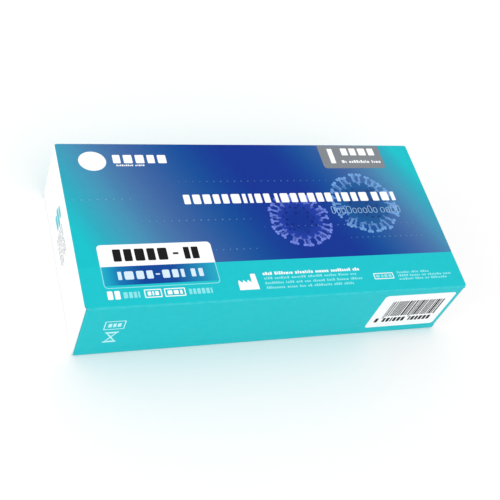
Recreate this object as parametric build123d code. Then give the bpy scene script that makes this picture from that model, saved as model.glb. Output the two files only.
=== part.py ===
from build123d import *
import math
import os

# Folding carton of a single rapid test, closed, with what it holds. It lies on its large bottom
# panel. Millimetres. X runs along the carton, Y from the front side panel to the back one, Z up.
# The origin is the middle of the bottom panel, on the surface that the carton stands on.

# The carton
length = 160.0
width = 77.5
height = 33.0
board = 0.5
fold_radius = 0.8
glue_flap_height = 13.0

# The two end closures: a closing panel that hangs from the top panel, and a tongue below it
tongue_length = 12.0
tongue_corner = 6.0
closure_side_gap = 0.4
tongue_side_gap = 0.9
hinge_gap = 0.15
floor_gap = 0.25
tongue_lean_spare = 0.5

# The dust flaps, two at each end, folded in behind the closing panel
dust_flap_length = 27.0
dust_flap_taper = 2.5
dust_flap_corner = 4.0
dust_flap_top_gap = 0.6
dust_flap_tongue_gap = 0.5

# Printing. Every printed layer is a film of this thickness.
ink = 0.03
band_width = 17.7
corner = 1.6

# Round mark and name bar near the back left corner of the top panel
disc_from_left = 8.1
disc_from_back = 4.5
disc_length = 11.1
disc_width = 9.8
name_gap = 2.8
name_drop = 1.4
name_length = 22.2
name_width = 4.6

# Title, one bar a word, and the line under it, both set against the right end
title_from_back = 27.0
title_width = 4.7
title_words = (37.3, 28.1, 14.5, 10.0)
title_word_gap = 2.1
title_from_right = 16.7
subtitle_gap = 2.7
subtitle_width = 3.7
subtitle_words = (20.4, 10.9)
subtitle_word_gap = 1.5

# Grey tab that hangs from the back edge
tab_length = 30.3
tab_width = 13.6
tab_from_right = 15.0
tab_figure = (5.5, 8.4)
tab_word = (16.4, 3.9)
tab_line = (19.2, 1.9)
tab_figure_side = 3.0
tab_marks_front = 3.0
tab_word_side = 3.0
tab_word_back = 2.25
tab_line_side = 1.5

# Two round spiked figures: distances of their centres from the right end and from the front edge
# of the field, and the reach of their cores and spikes
violet_from_right = 65.3
violet_from_band = 19.05
violet_core_radius = 10.0
violet_reach = 14.4
blue_from_right = 32.9
blue_from_band = 26.9
blue_core_radius = 11.5
blue_reach = 16.6
spike_count = 22
spike_stem = 0.7
spike_head = 1.0
spike_gap = 0.18
head_side_count = 8
knob_radius = 0.6
knob_ring_count = 2
knobs_per_ring_count = 5

# Label at the left, half on the field and half on the band
label_from_left = 8.3
label_length = 44.7
label_width = 9.8
label_word = (33.5, 5.5)
strip_width = 8.2
strip_word = (33.0, 4.3)
label_frame = 0.3
label_frame_drop = 1.3

# Small marks on the band
factory_length = 8.1
factory_height = 7.1
factory_eaves = 3.2
factory_ridge = 4.5
factory_ridge_lean = 0.4
factory_chimney = 2.6
factory_tooth_count = 3
factory_from_left = 59.9
factory_from_front = 4.5
lines_from_left = 70.9
lines_from_front = 4.5
line_pitch = 2.15
line_width = 1.35
line_lengths = (41.9, 40.5, 42.0, 37.0)
right_box = (9.0, 2.9)
right_box_from_right = 32.4
right_box_from_front = 6.0
right_lines = (15.0, 25.2, 22.5)
right_lines_from_right = 30.3
right_lines_from_front = 5.2
right_line_pitch = 1.7
right_line_width = 1.1
row_from_front = 3.4
row_height = 3.8
row_bar_inset = 0.63
row_from_left = 8.9
row_items = (("bar", 4.8), ("bar", 6.7), ("box", 6.6), ("box", 8.1), ("bar", 9.2))
row_gap = 1.3
outline = 0.35

# Front side panel
front_box = (7.9, 5.9)
front_box_from_left = 9.0
front_box_from_top = 9.1
glass_length = 5.2
glass_height = 7.5
glass_gap = 1.7
glass_bar = 0.8
glass_bar_end = 0.5
code_panel_length = 33.6
code_panel_from_right = 2.8
code_panel_from_top = 3.8
code_panel_from_bottom = 4.7
code_bar_side = 4.2
code_bar_above = 4.6
code_bar_below = 8.4
code_bar_shares = (1, 1, 2, 1, 3, 2, 1, 1, 2, 2, 1, 3)
code_bar_step = 0.62
code_bar_count = 29
code_bar_gap = 0.16
code_block = (1.5, 3.0)
code_block_pitch = 2.25

# Left closing panel
end_mark = (8.3, 10.5)
end_mark_from_back = 21.7
end_mark_from_top = 9.5
end_lines = (14.0, 12.5, 14.0, 9.0, 11.0)
end_lines_from_back = 30.8
end_lines_from_top = 12.0
end_line_pitch = 3.1
end_line_width = 1.2

# What the carton holds
bag_length = 108.0
bag_side_gap = 4.25
bag_thickness = 0.6
leaflet_length = 105.0
leaflet_side_gap = 1.1
leaflet_leaf = 0.42
leaf_count = 4
leaflet_air = 0.12
pouch_tongue_gap = 5.0
pouch_width = 65.0
pouch_sheet = 0.3
pouch_bulge_height = 6.2
pouch_bulge_base = (88.0, 34.0)
pouch_bulge_top = (72.0, 22.0)
pouch_base_corner = 8.5
pouch_top_corner = 5.5
pouch_rib_count = 4
pouch_rib = 0.5
pouch_rib_height = 0.15
pouch_rib_pitch = 1.0
wrapper_end_gap = 1.2
wrapper_width = 24.0
wrapper_sheet = 0.15
wrapper_seal = 2.5
wrapper_air = 0.2
wrapper_shift = -3.0
swab_shaft_radius = 1.2
swab_neck_radius = 0.75
swab_tip_radius = 1.6
swab_tip_length = 15.0
swab_tip_round = 1.28
swab_neck_length = 18.0
tube_length = 56.0
tube_radius = 4.6
tube_end_radius = 3.4
tube_wall = 0.7
tube_rim = 0.9
tube_rim_length = 1.6
tube_seal_thickness = 0.1
tube_side_gap = 4.6
tube_from_pouch_end = 20.0
cap_from_tube = 6.0
buffer_depth = 14.0
cap_height = 14.0
cap_radius = 5.8
cap_skirt = 6.0
cap_wall = 0.8
cap_tip_radius = 1.6
cap_neck_radius = 2.56
cap_cone = 1.93
cap_bore = 0.6
lie_gap = 0.05

# Places that follow from the sizes above
half_length = length / 2
half_width = width / 2
hinge_x = half_length - board / 2
hinge_z = height - board / 2
wall_end = half_length - board - hinge_gap
fold_start = wall_end - fold_radius
inner_radius = fold_radius - board
floor = board
field_edge = -half_width + band_width
closure_reach = hinge_z - floor - floor_gap
fold_centre_radius = board
closure_leg = closure_reach - board / 2
tongue_lean = math.degrees(math.asin(tongue_length / (2 * closure_leg))) + tongue_lean_spare
tongue_rise = tongue_length**2 / (8 * closure_leg)
dust_flap_bottom = floor + floor_gap + tongue_rise + 2 * board + dust_flap_tongue_gap
dust_flap_upper = height - board - dust_flap_top_gap
pouch_length = length - 2 * (board + tongue_length + pouch_tongue_gap)
leaflet_top = floor + bag_thickness + leaf_count * leaflet_leaf + (leaf_count - 1) * leaflet_air
rim_top = leaflet_top + pouch_sheet
pouch_top = rim_top + pouch_bulge_height


def block(x, y, z):
    """A box between two places along each axis."""
    size = [abs(b - a) for a, b in (x, y, z)]
    middle = [(a + b) / 2 for a, b in (x, y, z)]
    return Pos(*middle) * Box(*size)


def prism(face, plane, depth):
    """A flat outline, drawn on a plane, given a depth along the plane's normal."""
    return extrude(plane * face, amount=depth)


def save(part, name):
    """Write one sub-part, its separate solids together."""
    solids = part.solids()
    shape = solids[0] if len(solids) == 1 else Compound(children=list(solids))
    shape.label = name
    export_step(shape, f"parts/{name}.step")


def outline_section(inset):
    """The carton's filled cross-section, in by the inset. The raw edge of the back panel is square."""
    w = width - 2 * inset
    h = height - 2 * inset
    section = Pos(0, height / 2) * Rectangle(w, h)
    round_corners = section.vertices().sort_by(Axis.Y)
    raw = min(section.vertices(), key=lambda v: v.Y - v.X)
    return fillet([v for v in round_corners if v != raw], fold_radius - inset)


def fold_groove():
    """The small groove under the back panel's raw edge, beside the fold of the glue flap."""
    inside = half_width - board - fold_radius
    square = Pos(inside + fold_radius / 2, fold_radius / 2) * Rectangle(fold_radius, fold_radius)
    return square - Pos(inside, fold_radius) * Circle(fold_radius)


def board_section():
    """The folded board: four panels and the glue flap inside the back panel."""
    inner = Pos(0, height / 2) * RectangleRounded(width - 2 * board, height - 2 * board, inner_radius)
    flap_top = floor + glue_flap_height
    flap = Pos(half_width - 1.5 * board, (floor + flap_top) / 2) * Rectangle(board, glue_flap_height)
    bend = Pos(half_width - 2 * board - inner_radius / 2, floor + inner_radius / 2)
    bend_corner = bend * Rectangle(inner_radius, inner_radius)
    bend_corner -= Pos(half_width - 2 * board - inner_radius, floor + inner_radius) * Circle(inner_radius)
    return outline_section(0) - fold_groove() - inner + flap + bend_corner


def along(section, reach):
    """A cross-section run along the carton, as far each way."""
    return prism(section, Plane(origin=(-reach, 0, 0), x_dir=(0, 1, 0), z_dir=(1, 0, 0)), 2 * reach)


def top_strips():
    """The printed top panel between the end folds and the ends of the side panels."""
    y = (-half_width + fold_radius, half_width - fold_radius)
    z = (height - ink, height)
    return block((fold_start, wall_end), y, z) + block((-wall_end, -fold_start), y, z)


def fold_prints():
    """The printed film on the outside of the four dust flaps' folds."""
    tall = dust_flap_upper - dust_flap_bottom
    middle = (dust_flap_upper + dust_flap_bottom) / 2
    start = half_width - fold_radius
    film = Pos(fold_start, start, middle) * (Cylinder(fold_radius, tall) - Cylinder(fold_radius - ink, tall))
    film &= block((fold_start, wall_end), (start, half_width), (0, height))
    film += mirror(film, Plane.XZ)
    return film + mirror(film, Plane.YZ)


def print_skin():
    """The printed film around the carton, let into the board's outer face."""
    ring = outline_section(0) - outline_section(ink) - fold_groove()
    return along(ring, fold_start) + top_strips() + fold_prints()


def dust_flap(side):
    """A dust flap at the right end, with its fold. side is 1 at the back and -1 at the front."""
    z = (dust_flap_bottom, dust_flap_upper)
    middle = sum(z) / 2
    tall = z[1] - z[0]
    start = half_width - fold_radius
    end = half_width - dust_flap_length
    lower_end = z[0] + dust_flap_taper
    upper_end = z[1] - dust_flap_taper
    corners = [(start, z[0]), (end, lower_end), (end, upper_end), (start, z[1])]
    sheet = make_face(Polyline(*corners, close=True))
    free = [v for v in sheet.vertices() if abs(v.X - end) < board]
    sheet = fillet(free, dust_flap_corner)
    plate = prism(sheet, Plane(origin=(wall_end - board, 0, 0), x_dir=(0, 1, 0), z_dir=(1, 0, 0)), board)
    bend = Pos(fold_start, start, middle) * (
        Cylinder(fold_radius, tall) - Cylinder(inner_radius, tall)
    )
    bend &= block((fold_start, wall_end), (start, half_width), z)
    flap = plate + bend
    return flap if side > 0 else mirror(flap, Plane.XZ)


def carton_body():
    """The folded and glued carton without its two end closures."""
    body = along(board_section(), fold_start)
    y = (-half_width + fold_radius, half_width - fold_radius)
    groove_edge = half_width - board - fold_radius
    for side in (1, -1):
        body += block((side * fold_start, side * wall_end), y, (height - board, height))
        body += block((side * fold_start, side * half_length), (y[0], groove_edge), (0, board))
    for side in (1, -1):
        flap = dust_flap(side)
        body += flap
        body += mirror(flap, Plane.YZ)
    return body - print_skin()


def tuck_flap():
    """The right end closure: a round fold at the top, the closing panel, and the tucked-in tongue."""
    lean = math.radians(tongue_lean)
    fold_drop = fold_centre_radius * (1 / math.tan((math.pi / 2 - lean) / 2) - 1)
    leg = closure_leg + fold_drop
    tip = (-tongue_length * math.cos(lean), -leg + tongue_length * math.sin(lean))
    plane = Plane(origin=(hinge_x, 0, hinge_z), x_dir=(1, 0, 0), z_dir=(0, -1, 0))
    path = FilletPolyline((0, 0), (0, -leg), tip, radius=fold_centre_radius)
    strip = trace(path, board)
    tongue_half = half_width - board - tongue_side_gap
    closure_half = half_width - closure_side_gap
    narrow = extrude(plane * strip, amount=tongue_half, both=True)
    fold_top = -leg + fold_centre_radius
    panel = Pos(0, fold_top / 2) * Rectangle(board, -fold_top) + Circle(board / 2)
    wide = extrude(plane * panel, amount=closure_half, both=True)
    return wide + narrow - tongue_corners(lean, leg, tongue_half)


def tongue_corners(lean, leg, tongue_half):
    """What the tongue's two free corners lose to their rounding."""
    down = Plane(
        origin=(hinge_x, 0, hinge_z - leg),
        x_dir=(-math.cos(lean), 0, math.sin(lean)),
        z_dir=(math.sin(lean), 0, math.cos(lean)),
    )
    middle = tongue_length - tongue_corner
    cut = None
    for side in (1, -1):
        centre = Pos(middle, side * (tongue_half - tongue_corner))
        square = Rectangle(2 * tongue_corner, 2 * tongue_corner)
        square = Pos(middle + tongue_corner, side * tongue_half) * square
        piece = square - centre * Circle(tongue_corner)
        cut = piece if cut is None else cut + piece
    return extrude(down * cut, amount=2 * board, both=True)


def top_plate(x, y, level=0, radius=0.0):
    """A printed rectangle on the top panel. Level 0 lies on the first film, level 1 on level 0."""
    centre = Pos((x[0] + x[1]) / 2, (y[0] + y[1]) / 2)
    size = (abs(x[1] - x[0]), abs(y[1] - y[0]))
    face = centre * (RectangleRounded(*size, radius) if radius else Rectangle(*size))
    return prism(face, Plane.XY.offset(height + level * ink), ink)


def top_outline(x, y, line, level=0, radius=0.0):
    """A printed rectangle's outline on the top panel."""
    inner_x = (x[0] + line, x[1] - line)
    inner_y = (y[0] + line, y[1] - line)
    inside = max(radius - line, 0.0)
    return top_plate(x, y, level, radius) - top_plate(inner_x, inner_y, level, inside)


def front_plane(level=0):
    """The front side panel's printed face, seen from the front."""
    return Plane(origin=(0, -half_width - level * ink, 0), x_dir=(1, 0, 0), z_dir=(0, -1, 0))


def front_plate(x, z, level=0, radius=0.0):
    """A printed rectangle on the front side panel."""
    centre = Pos((x[0] + x[1]) / 2, (z[0] + z[1]) / 2)
    size = (abs(x[1] - x[0]), abs(z[1] - z[0]))
    face = centre * (RectangleRounded(*size, radius) if radius else Rectangle(*size))
    return prism(face, front_plane(level), ink)


def word_bars(start, lengths, gap):
    """The spans of a row of words, from left to right."""
    spans = []
    for item in lengths:
        spans.append((start, start + item))
        start += item + gap
    return spans


def printed_fields():
    """The blue field on the top panel, and the teal print on the rest of the carton's outside."""
    skin = print_skin()
    over_top = (height - fold_radius, height + ink)
    top = block((-half_length, half_length), (field_edge, half_width), over_top)
    save(skin - top, "teal_print")
    save(skin & top, "blue_print")


def corner_marks():
    """The round mark and the name bar near the back left corner."""
    x = -half_length + disc_from_left
    y = half_width - disc_from_back
    centre = Pos(x + disc_length / 2, y - disc_width / 2)
    disc = prism(centre * Ellipse(disc_length / 2, disc_width / 2), Plane.XY.offset(height), ink)
    name_x = x + disc_length + name_gap
    name_y = y - disc_width / 2 - name_drop
    return disc + top_plate((name_x, name_x + name_length), (name_y, name_y + name_width))


def word_faces(lengths, gap, back, tall):
    """The outlines of a row of word bars that ends at the title's right edge."""
    end = half_length - title_from_right
    start = end - sum(lengths) - gap * (len(lengths) - 1)
    y = half_width - back - tall / 2
    faces = [Pos((a + b) / 2, y) * Rectangle(b - a, tall) for a, b in word_bars(start, lengths, gap)]
    return sum(faces[1:], faces[0])


def title_faces():
    """The word bars of the title, and those of the line under it."""
    title = word_faces(title_words, title_word_gap, title_from_back, title_width)
    back = title_from_back + title_width + subtitle_gap
    return title, word_faces(subtitle_words, subtitle_word_gap, back, subtitle_width)


def title_prints():
    """The title and the line under it."""
    title, subtitle = title_faces()
    plane = Plane.XY.offset(height)
    save(prism(title, plane, ink), "title_marks")
    save(prism(subtitle, plane, ink), "subtitle_marks")


def figure_crown(core, reach):
    """A ring of stems with many-sided heads around one figure's core."""
    stem_start = core + spike_gap
    stem_end = reach - spike_head
    stem = Pos((stem_start + stem_end) / 2, 0) * Rectangle(stem_end - stem_start, spike_stem)
    head = Pos(stem_end, 0) * RegularPolygon(spike_head, head_side_count)
    spikes = [Rot(0, 0, 360 * i / spike_count) * (stem + head) for i in range(spike_count)]
    return sum(spikes[1:], spikes[0])


def figure_knobs(core):
    """The heads of the spikes that point at the viewer, in rings on the core."""
    knobs = []
    for ring in range(knob_ring_count):
        share = (ring + 1) / (knob_ring_count + 1)
        count = knobs_per_ring_count * (ring + 1)
        for i in range(count):
            turn = Rot(0, 0, 360 * (i + share) / count)
            knobs.append(turn * Pos(core * share, 0) * RegularPolygon(knob_radius, head_side_count))
    return sum(knobs[1:], knobs[0])


def tab_face():
    """The outline of the grey tab that hangs from the back edge."""
    right = half_length - tab_from_right
    low = half_width - tab_width
    top = half_width - fold_radius
    whole = Pos(right - tab_length / 2, (low + top + corner) / 2)
    square = Pos(right - tab_length / 2, (low + top) / 2) * Rectangle(tab_length, top - low)
    return (whole * RectangleRounded(tab_length, top + corner - low, corner)) & square


def figures():
    """Both spiked figures on the blue field, around the title's words and the grey tab."""
    title, subtitle = title_faces()
    over = title + subtitle + tab_face()
    kinds = (
        ("violet", violet_from_right, violet_from_band, violet_core_radius, violet_reach),
        ("blue", blue_from_right, blue_from_band, blue_core_radius, blue_reach),
    )
    for name, right, band, core, reach in kinds:
        place = Pos(half_length - right, field_edge + band)
        first = Plane.XY.offset(height)
        second = Plane.XY.offset(height + ink)
        disc = place * Circle(core) - over
        crown = place * figure_crown(core, reach) - over
        knobs = place * figure_knobs(core) - over
        save(prism(disc, first, ink), f"{name}_figure_core")
        save(prism(crown, first, ink) + prism(knobs, second, ink), f"{name}_figure_spikes")


def tab_prints():
    """The grey tab at the back edge and the white marks on it."""
    right = half_length - tab_from_right
    left = right - tab_length
    low = half_width - tab_width
    save(prism(tab_face(), Plane.XY.offset(height), ink), "corner_tab")
    figure_x = (left + tab_figure_side, left + tab_figure_side + tab_figure[0])
    front = low + tab_marks_front
    marks = top_plate(figure_x, (front, front + tab_figure[1]), 1)
    word_x = (right - tab_word_side - tab_word[0], right - tab_word_side)
    word_y = low + tab_width - tab_word_back
    marks += top_plate(word_x, (word_y - tab_word[1], word_y), 1)
    line_x = (right - tab_line_side - tab_line[0], right - tab_line_side)
    marks += top_plate(line_x, (front, front + tab_line[1]), 1)
    save(marks, "tab_marks")


def label_prints():
    """The white label, the blue strip below it, their word bars and the thin frame."""
    x = (-half_length + label_from_left, -half_length + label_from_left + label_length)
    middle = sum(x) / 2
    y = (field_edge, field_edge + label_width)
    label = top_plate(x, (y[0] - corner, y[1]), 0, corner) & block(x, y, (height, height + ink))
    save(label, "label_panel")
    word_y = sum(y) / 2 - label_word[1] / 2
    word_x = (middle - label_word[0] / 2, middle + label_word[0] / 2)
    save(top_plate(word_x, (word_y, word_y + label_word[1]), 1), "label_marks")
    strip_y = (field_edge - strip_width, field_edge)
    strip_x = (x[0] + label_frame, x[1] - label_frame)
    save(top_plate(strip_x, strip_y), "label_strip")
    word_y = sum(strip_y) / 2 - strip_word[1] / 2
    word_x = (middle - strip_word[0] / 2, middle + strip_word[0] / 2)
    save(top_plate(word_x, (word_y, word_y + strip_word[1]), 1), "strip_marks")
    frame_y = (strip_y[0] - label_frame_drop, field_edge + corner)
    frame = top_outline(x, frame_y, label_frame, 0, corner)
    frame &= block(x, (frame_y[0], field_edge), (height, height + ink))
    save(frame, "label_frame")


def factory_face():
    """A plain factory sign: a saw-tooth roof with a chimney at the right, on its lower left corner."""
    tooth = (factory_length - factory_chimney) / factory_tooth_count
    points = [(0, 0), (0, factory_eaves)]
    for i in range(factory_tooth_count):
        points += [(i * tooth + factory_ridge_lean, factory_ridge), ((i + 1) * tooth, factory_eaves)]
    start = factory_length - factory_chimney
    points += [(start, factory_height), (factory_length, factory_height), (factory_length, 0)]
    return make_face(Polyline(*points, close=True))


def band_marks():
    """The small white marks on the teal band."""
    front = -half_width
    place = Pos(-half_length + factory_from_left, front + factory_from_front)
    marks = prism(place * factory_face(), Plane.XY.offset(height), ink)
    start = -half_length + lines_from_left
    for i, item in enumerate(reversed(line_lengths)):
        y = front + lines_from_front + i * line_pitch
        marks += top_plate((start, start + item), (y, y + line_width))
    x = half_length - right_box_from_right - right_box[0]
    y = front + right_box_from_front
    marks += top_outline((x, x + right_box[0]), (y, y + right_box[1]), outline)
    start = half_length - right_lines_from_right
    for i, item in enumerate(reversed(right_lines)):
        y = front + right_lines_from_front + i * right_line_pitch
        marks += top_plate((start, start + item), (y, y + right_line_width))
    x = -half_length + row_from_left
    y = (front + row_from_front, front + row_from_front + row_height)
    for kind, item in row_items:
        span = (x, x + item)
        inner = (y[0] + row_bar_inset, y[1] - row_bar_inset)
        marks += top_outline(span, y, outline) if kind == "box" else top_plate(span, inner)
        x += item + row_gap
    return marks


def hourglass_face():
    """A plain hourglass sign, centred, between two bars."""
    half_tall = glass_height / 2
    rim = glass_length / 2 - glass_bar_end
    waist = outline / 2
    cone = half_tall - glass_bar
    bulb = make_face(Polyline((-rim, cone), (rim, cone), (waist, 0), (-waist, 0), close=True))
    bars = Pos(0, half_tall - glass_bar / 2) * Rectangle(glass_length, glass_bar)
    upper = bulb + bars
    return upper + mirror(upper, Plane.XZ)


def front_marks():
    """The outlined box and the hourglass sign on the front side panel."""
    x = -half_length + front_box_from_left
    z = height - front_box_from_top
    box_x = (x, x + front_box[0])
    box_z = (z - front_box[1], z)
    inner_x = (box_x[0] + outline, box_x[1] - outline)
    inner_z = (box_z[0] + outline, box_z[1] - outline)
    marks = front_plate(box_x, box_z) - front_plate(inner_x, inner_z)
    centre = Pos(sum(box_x) / 2, box_z[0] - glass_gap - glass_height / 2)
    return marks + prism(centre * hourglass_face(), front_plane(), ink)


def code_prints():
    """The white panel on the front side, with its row of bars and the blocks under them."""
    right = half_length - code_panel_from_right
    x = (right - code_panel_length, right)
    z = (code_panel_from_bottom, height - code_panel_from_top)
    save(front_plate(x, z, 0, corner), "code_panel")
    bar_z = (z[0] + code_bar_below, z[1] - code_bar_above)
    start = x[0] + code_bar_side
    pitch = (code_panel_length - 2 * code_bar_side) / code_bar_count
    bars = None
    for i in range(code_bar_count):
        wide = code_bar_shares[i % len(code_bar_shares)] * pitch * code_bar_step / 2
        left = start + i * pitch
        bar = front_plate((left, left + min(wide, pitch - code_bar_gap)), bar_z, 1)
        bars = bar if bars is None else bars + bar
    block_z = (bar_z[0] - code_block[1] - outline, bar_z[0] - outline)
    block_count = int((code_panel_length - 2 * code_bar_side) / code_block_pitch)
    for i in range(block_count):
        left = start + i * code_block_pitch
        bars += front_plate((left, left + code_block[0]), block_z, 1)
    save(bars, "code_bars")


def end_prints():
    """The small marks on the left closing panel."""
    plane = Plane(origin=(-half_length, 0, 0), x_dir=(0, -1, 0), z_dir=(-1, 0, 0))
    left = -half_width + end_mark_from_back
    high = height - end_mark_from_top
    mark = Pos(left + end_mark[0] / 2, high - end_mark[1] / 2) * Rectangle(*end_mark)
    save(prism(mark, plane, ink), "end_mark")
    start = -half_width + end_lines_from_back
    lines = None
    for i, item in enumerate(end_lines):
        z = height - end_lines_from_top - i * end_line_pitch
        line = prism(Pos(start + item / 2, z) * Rectangle(item, end_line_width), plane, ink)
        lines = line if lines is None else lines + line
    save(lines, "end_lines")


def waste_bag():
    """The empty bag for the used pieces, folded flat on the carton's floor."""
    reach = half_width - board - bag_side_gap
    z = (floor, floor + bag_thickness)
    return block((-bag_length / 2, bag_length / 2), (-reach, reach), z)


def leaflet():
    """The instructions, one sheet folded to and fro, with each leaf lying on the next."""
    leaflet_width = width - 2 * board - 2 * leaflet_side_gap
    pitch = leaflet_leaf + leaflet_air
    reach = leaflet_width / 2 - pitch / 2 - leaflet_leaf / 2
    points = []
    for i in range(leaf_count):
        level = leaflet_leaf / 2 + i * pitch
        side = 1 if i % 2 else -1
        points += [(side * reach, level), (-side * reach, level)]
    path = []
    for i in range(leaf_count):
        path.append(Line(points[2 * i], points[2 * i + 1]))
        if i < leaf_count - 1:
            start, end = points[2 * i + 1], points[2 * i + 2]
            bulge = math.copysign(pitch / 2, start[0])
            path.append(ThreePointArc(start, (start[0] + bulge, (start[1] + end[1]) / 2), end))
    section = trace(path, leaflet_leaf)
    plane = Plane(origin=(0, 0, floor + bag_thickness), x_dir=(0, 1, 0), z_dir=(1, 0, 0))
    return extrude(plane * section, amount=leaflet_length / 2, both=True)


def foil_pouch():
    """The sealed foil pouch, with the form of what lies in it and ribbed seals at its ends."""
    sheet = Pos(0, 0, leaflet_top + pouch_sheet / 2) * Box(pouch_length, pouch_width, pouch_sheet)
    sheet = fillet(sheet.edges().filter_by(Axis.Z), corner)
    base = Pos(0, 0, rim_top) * RectangleRounded(*pouch_bulge_base, pouch_base_corner)
    crown = Pos(0, 0, pouch_top) * RectangleRounded(*pouch_bulge_top, pouch_top_corner)
    pouch = sheet + loft([base, crown])
    for end in (1, -1):
        for i in range(pouch_rib_count):
            x = end * (pouch_length / 2 - (i + 1) * pouch_rib_pitch)
            along_x = (x - pouch_rib / 2, x + pouch_rib / 2)
            across = (-pouch_width / 2 + corner, pouch_width / 2 - corner)
            pouch += block(along_x, across, (rim_top, rim_top + pouch_rib_height))
    return pouch


def wrapper_parts():
    """The swab's pack, on top of the foil pouch: a paper back, a clear film with a bulge, and the swab."""
    reach = wall_end - board - wrapper_end_gap
    inside = 2 * swab_tip_radius + lie_gap + wrapper_air
    bulge_radius = inside + wrapper_sheet
    y = wrapper_shift
    z = pouch_top
    span = (y - wrapper_width / 2, y + wrapper_width / 2)
    save(block((-reach, reach), span, (z, z + wrapper_sheet)), "swab_pack_back")
    face = z + wrapper_sheet
    sheet = block((-reach, reach), span, (face, face + wrapper_sheet))
    run = reach - wrapper_seal - bulge_radius
    outer = bulge(run, bulge_radius)
    hollow = bulge(run, inside)
    place = Pos(0, y, face)
    keep = block((-reach, reach), span, (face, face + 2 * bulge_radius))
    film = (sheet + (place * outer & keep)) - place * hollow
    save(film, "swab_pack_film")
    axis_z = face + swab_tip_radius + lie_gap
    swab_reach = run + inside / 2
    tip_start = swab_reach - swab_tip_length
    neck_start = tip_start - swab_neck_length
    turn = Pos(0, y, axis_z) * Rot(0, 90, 0)
    handle = Pos(0, 0, (neck_start - swab_reach) / 2) * Cylinder(swab_shaft_radius, neck_start + swab_reach)
    core_length = swab_reach - swab_tip_radius - neck_start
    core = Pos(0, 0, neck_start + core_length / 2) * Cylinder(swab_neck_radius, core_length)
    shaft = handle + core
    save(turn * shaft, "swab_shaft")
    tip = Pos(0, 0, tip_start + swab_tip_length / 2) * Cylinder(swab_tip_radius, swab_tip_length)
    tip = fillet(tip.edges().filter_by(GeomType.CIRCLE), swab_tip_round)
    save(turn * (tip - core), "swab_tip")


def bulge(run, radius):
    """A round bar with round ends along X, around the origin."""
    bar = Rot(0, 90, 0) * Cylinder(radius, 2 * run)
    return bar + Pos(run, 0, 0) * Sphere(radius) + Pos(-run, 0, 0) * Sphere(radius)


def tube_parts():
    """The extraction tube, lying on the pouch's rim at the back, with its foil seal and its liquid."""
    rim_radius = tube_radius + tube_rim
    outer = [(0, 0), (tube_end_radius, 0), (tube_radius, tube_length - tube_rim_length)]
    outer += [(rim_radius, tube_length - tube_rim_length), (rim_radius, tube_length), (0, tube_length)]
    inner_end = tube_end_radius - tube_wall
    inner_top = tube_radius - tube_wall
    inner = [(0, tube_wall), (inner_end, tube_wall), (inner_top, tube_length), (0, tube_length)]
    slope = (inner_top - inner_end) / (tube_length - tube_wall)
    level = inner_end + slope * buffer_depth
    liquid_top = tube_wall + buffer_depth
    liquid = [(0, tube_wall), (inner_end, tube_wall), (level, liquid_top), (0, liquid_top)]
    body = turned(outer) - turned(inner)
    seal = Pos(0, 0, tube_length + tube_seal_thickness / 2) * Cylinder(rim_radius, tube_seal_thickness)
    tilt = math.degrees(math.atan((rim_radius - tube_end_radius) / tube_length))
    y = half_width - board - tube_side_gap - rim_radius
    lift = rim_top + lie_gap + tube_end_radius * math.cos(math.radians(tilt))
    place = Pos(tube_from_pouch_end - pouch_length / 2, y, lift) * Rot(0, 90 - tilt, 0)
    save(place * body, "extraction_tube")
    save(place * seal, "tube_seal")
    save(place * turned(liquid), "tube_liquid")


def turned(points):
    """A solid of revolution about Z from half its outline."""
    face = make_face(Plane.XZ * Polyline(*points, close=True))
    return revolve(face, Axis.Z)


def dropper_cap():
    """The dropper cap for the tube, standing on the pouch's rim."""
    shoulder = cap_skirt + cap_cone
    outer = [(0, 0), (cap_radius, 0), (cap_radius, cap_skirt), (cap_neck_radius, shoulder)]
    outer += [(cap_tip_radius, cap_height), (0, cap_height)]
    mouth = cap_radius - cap_wall
    inner = [(0, 0), (mouth, 0), (mouth, cap_skirt - cap_wall)]
    inner += [(cap_bore, shoulder), (cap_bore, cap_height), (0, cap_height)]
    y = half_width - board - tube_side_gap - cap_radius
    x = tube_from_pouch_end - pouch_length / 2 + tube_length + cap_from_tube + cap_radius
    place = Pos(x, y, rim_top)
    return place * (turned(outer) - turned(inner))


def main():
    os.makedirs("parts", exist_ok=True)
    save(carton_body(), "carton_body")
    flap = tuck_flap()
    save(flap, "right_tuck_flap")
    save(mirror(flap, Plane.YZ), "left_tuck_flap")
    printed_fields()
    save(corner_marks(), "corner_marks")
    title_prints()
    figures()
    tab_prints()
    label_prints()
    save(band_marks(), "band_marks")
    save(front_marks(), "front_marks")
    code_prints()
    end_prints()
    save(waste_bag(), "waste_bag")
    save(leaflet(), "leaflet")
    save(foil_pouch(), "foil_pouch")
    wrapper_parts()
    tube_parts()
    save(dropper_cap(), "dropper_cap")


main()
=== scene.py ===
import math
import random

import bmesh
import bpy
from mathutils import Matrix, Vector, noise
from mathutils.geometry import tessellate_polygon


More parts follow.
